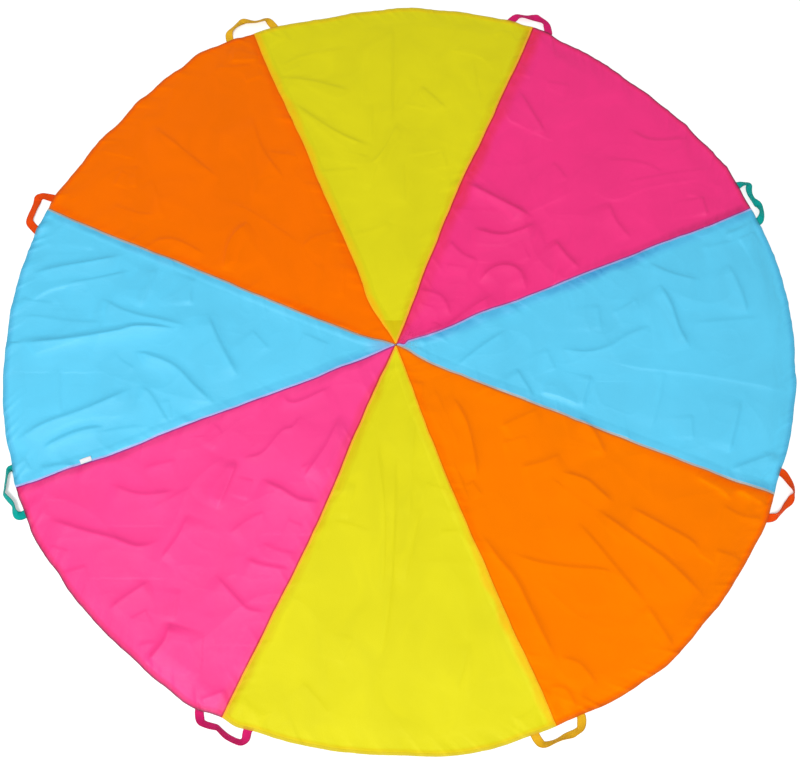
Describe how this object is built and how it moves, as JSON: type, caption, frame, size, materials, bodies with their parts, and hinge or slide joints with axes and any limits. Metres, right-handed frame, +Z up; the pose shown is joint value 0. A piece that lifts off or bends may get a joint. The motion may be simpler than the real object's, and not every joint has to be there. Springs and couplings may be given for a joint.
{
  "type": "play parachute",
  "caption": "Round play parachute lying open: bright cloth gores sewn round the centre, a turned hem, and a webbing hand loop over the end of each seam.",
  "frame": {"origin": "centre of the canopy, on the ground under the cloth", "axes": "+Z up; +Y towards the back yellow gore, away from the camera; +X to the right, through the right blue gore"},
  "size_m": [1.8291, 1.826, 0.0174],
  "materials": {
    "yellow": "soft sheen",
    "orange": "soft sheen",
    "pink": "soft sheen",
    "blue": "soft sheen",
    "amber": "matte woven webbing",
    "red": "matte woven webbing",
    "teal": "matte woven webbing",
    "webbing_pink": "matte woven webbing",
    "white": "matte tape"
  },
  "bodies": {
    "canopy_left": {"care_label": "white", "gore_blue_left": "blue", "gore_orange_back_left": "orange", "gore_pink_front_left": "pink", "gore_yellow_back_left": "yellow", "gore_yellow_front_left": "yellow", "handle_amber_back_end_a": "amber", "handle_amber_back_end_b": "amber", "handle_pink_front_end_a": "webbing_pink", "handle_pink_front_end_b": "webbing_pink", "handle_red_left_end_a": "red", "handle_red_left_end_b": "red", "handle_teal_left_end_a": "teal", "handle_teal_left_end_b": "teal", "hem_stitch_blue_left": "blue", "hem_stitch_orange_back_left": "orange", "hem_stitch_pink_front_left": "pink", "hem_stitch_yellow_back_left": "yellow", "hem_stitch_yellow_front_left": "yellow", "seam_stitch_back_left": "yellow", "seam_stitch_front_left": "yellow", "seam_stitch_left_back": "blue", "seam_stitch_left_front": "blue"},
    "canopy_right": {"gore_blue_right": "blue", "gore_orange_front_right": "orange", "gore_pink_back_right": "pink", "gore_yellow_back_right": "yellow", "gore_yellow_front_right": "yellow", "handle_amber_front_end_a": "amber", "handle_amber_front_end_b": "amber", "handle_pink_back_end_a": "webbing_pink", "handle_pink_back_end_b": "webbing_pink", "handle_red_right_end_a": "red", "handle_red_right_end_b": "red", "handle_teal_right_end_a": "teal", "handle_teal_right_end_b": "teal", "hem_stitch_blue_right": "blue", "hem_stitch_orange_front_right": "orange", "hem_stitch_pink_back_right": "pink", "hem_stitch_yellow_back_right": "yellow", "hem_stitch_yellow_front_right": "yellow", "seam_stitch_back_right": "yellow", "seam_stitch_front_right": "yellow", "seam_stitch_right_back": "blue", "seam_stitch_right_front": "blue"},
    "handle_teal_right": {"handle_teal_right": "teal"},
    "handle_pink_back": {"handle_pink_back": "webbing_pink"},
    "handle_amber_back": {"handle_amber_back": "amber"},
    "handle_red_left": {"handle_red_left": "red"},
    "handle_teal_left": {"handle_teal_left": "teal"},
    "handle_pink_front": {"handle_pink_front": "webbing_pink"},
    "handle_amber_front": {"handle_amber_front": "amber"},
    "handle_red_right": {"handle_red_right": "red"}
  },
  "joints": [
    {"name": "canopy_fold", "type": "hinge", "parent": "canopy_left", "child": "canopy_right", "pos_m": [0, 0, 0.005], "axis": [0, 1, 0], "range_deg": [-175, 0]},
    {"name": "handle_teal_right_swing", "type": "hinge", "parent": "canopy_right", "child": "handle_teal_right", "pos_m": [0.84805, 0.36312, 0.003], "axis": [0.3993, -0.9168, 0], "range_deg": [0, 130]},
    {"name": "handle_pink_back_swing", "type": "hinge", "parent": "canopy_right", "child": "handle_pink_back", "pos_m": [0.33417, 0.85897, 0.003], "axis": [0.936, -0.352, 0], "range_deg": [0, 130]},
    {"name": "handle_amber_back_swing", "type": "hinge", "parent": "canopy_left", "child": "handle_amber_back", "pos_m": [-0.37348, 0.83393, 0.003], "axis": [0.9354, 0.3537, 0], "range_deg": [0, 130]},
    {"name": "handle_red_left_swing", "type": "hinge", "parent": "canopy_left", "child": "handle_red_left", "pos_m": [-0.84453, 0.33046, 0.003], "axis": [0.3639, 0.9314, 0], "range_deg": [0, 130]},
    {"name": "handle_teal_left_swing", "type": "hinge", "parent": "canopy_left", "child": "handle_teal_left", "pos_m": [-0.84146, -0.35288, 0.003], "axis": [-0.3811, 0.9245, 0], "range_deg": [0, 130]},
    {"name": "handle_pink_front_swing", "type": "hinge", "parent": "canopy_left", "child": "handle_pink_front", "pos_m": [-0.35745, -0.84383, 0.003], "axis": [-0.9202, 0.3914, 0], "range_deg": [0, 130]},
    {"name": "handle_amber_front_swing", "type": "hinge", "parent": "canopy_right", "child": "handle_amber_front", "pos_m": [0.34826, -0.85018, 0.003], "axis": [-0.9286, -0.3711, 0], "range_deg": [0, 130]},
    {"name": "handle_red_right_swing", "type": "hinge", "parent": "canopy_right", "child": "handle_red_right", "pos_m": [0.84586, -0.35328, 0.003], "axis": [-0.3858, -0.9226, 0], "range_deg": [0, 130]}
  ]
}
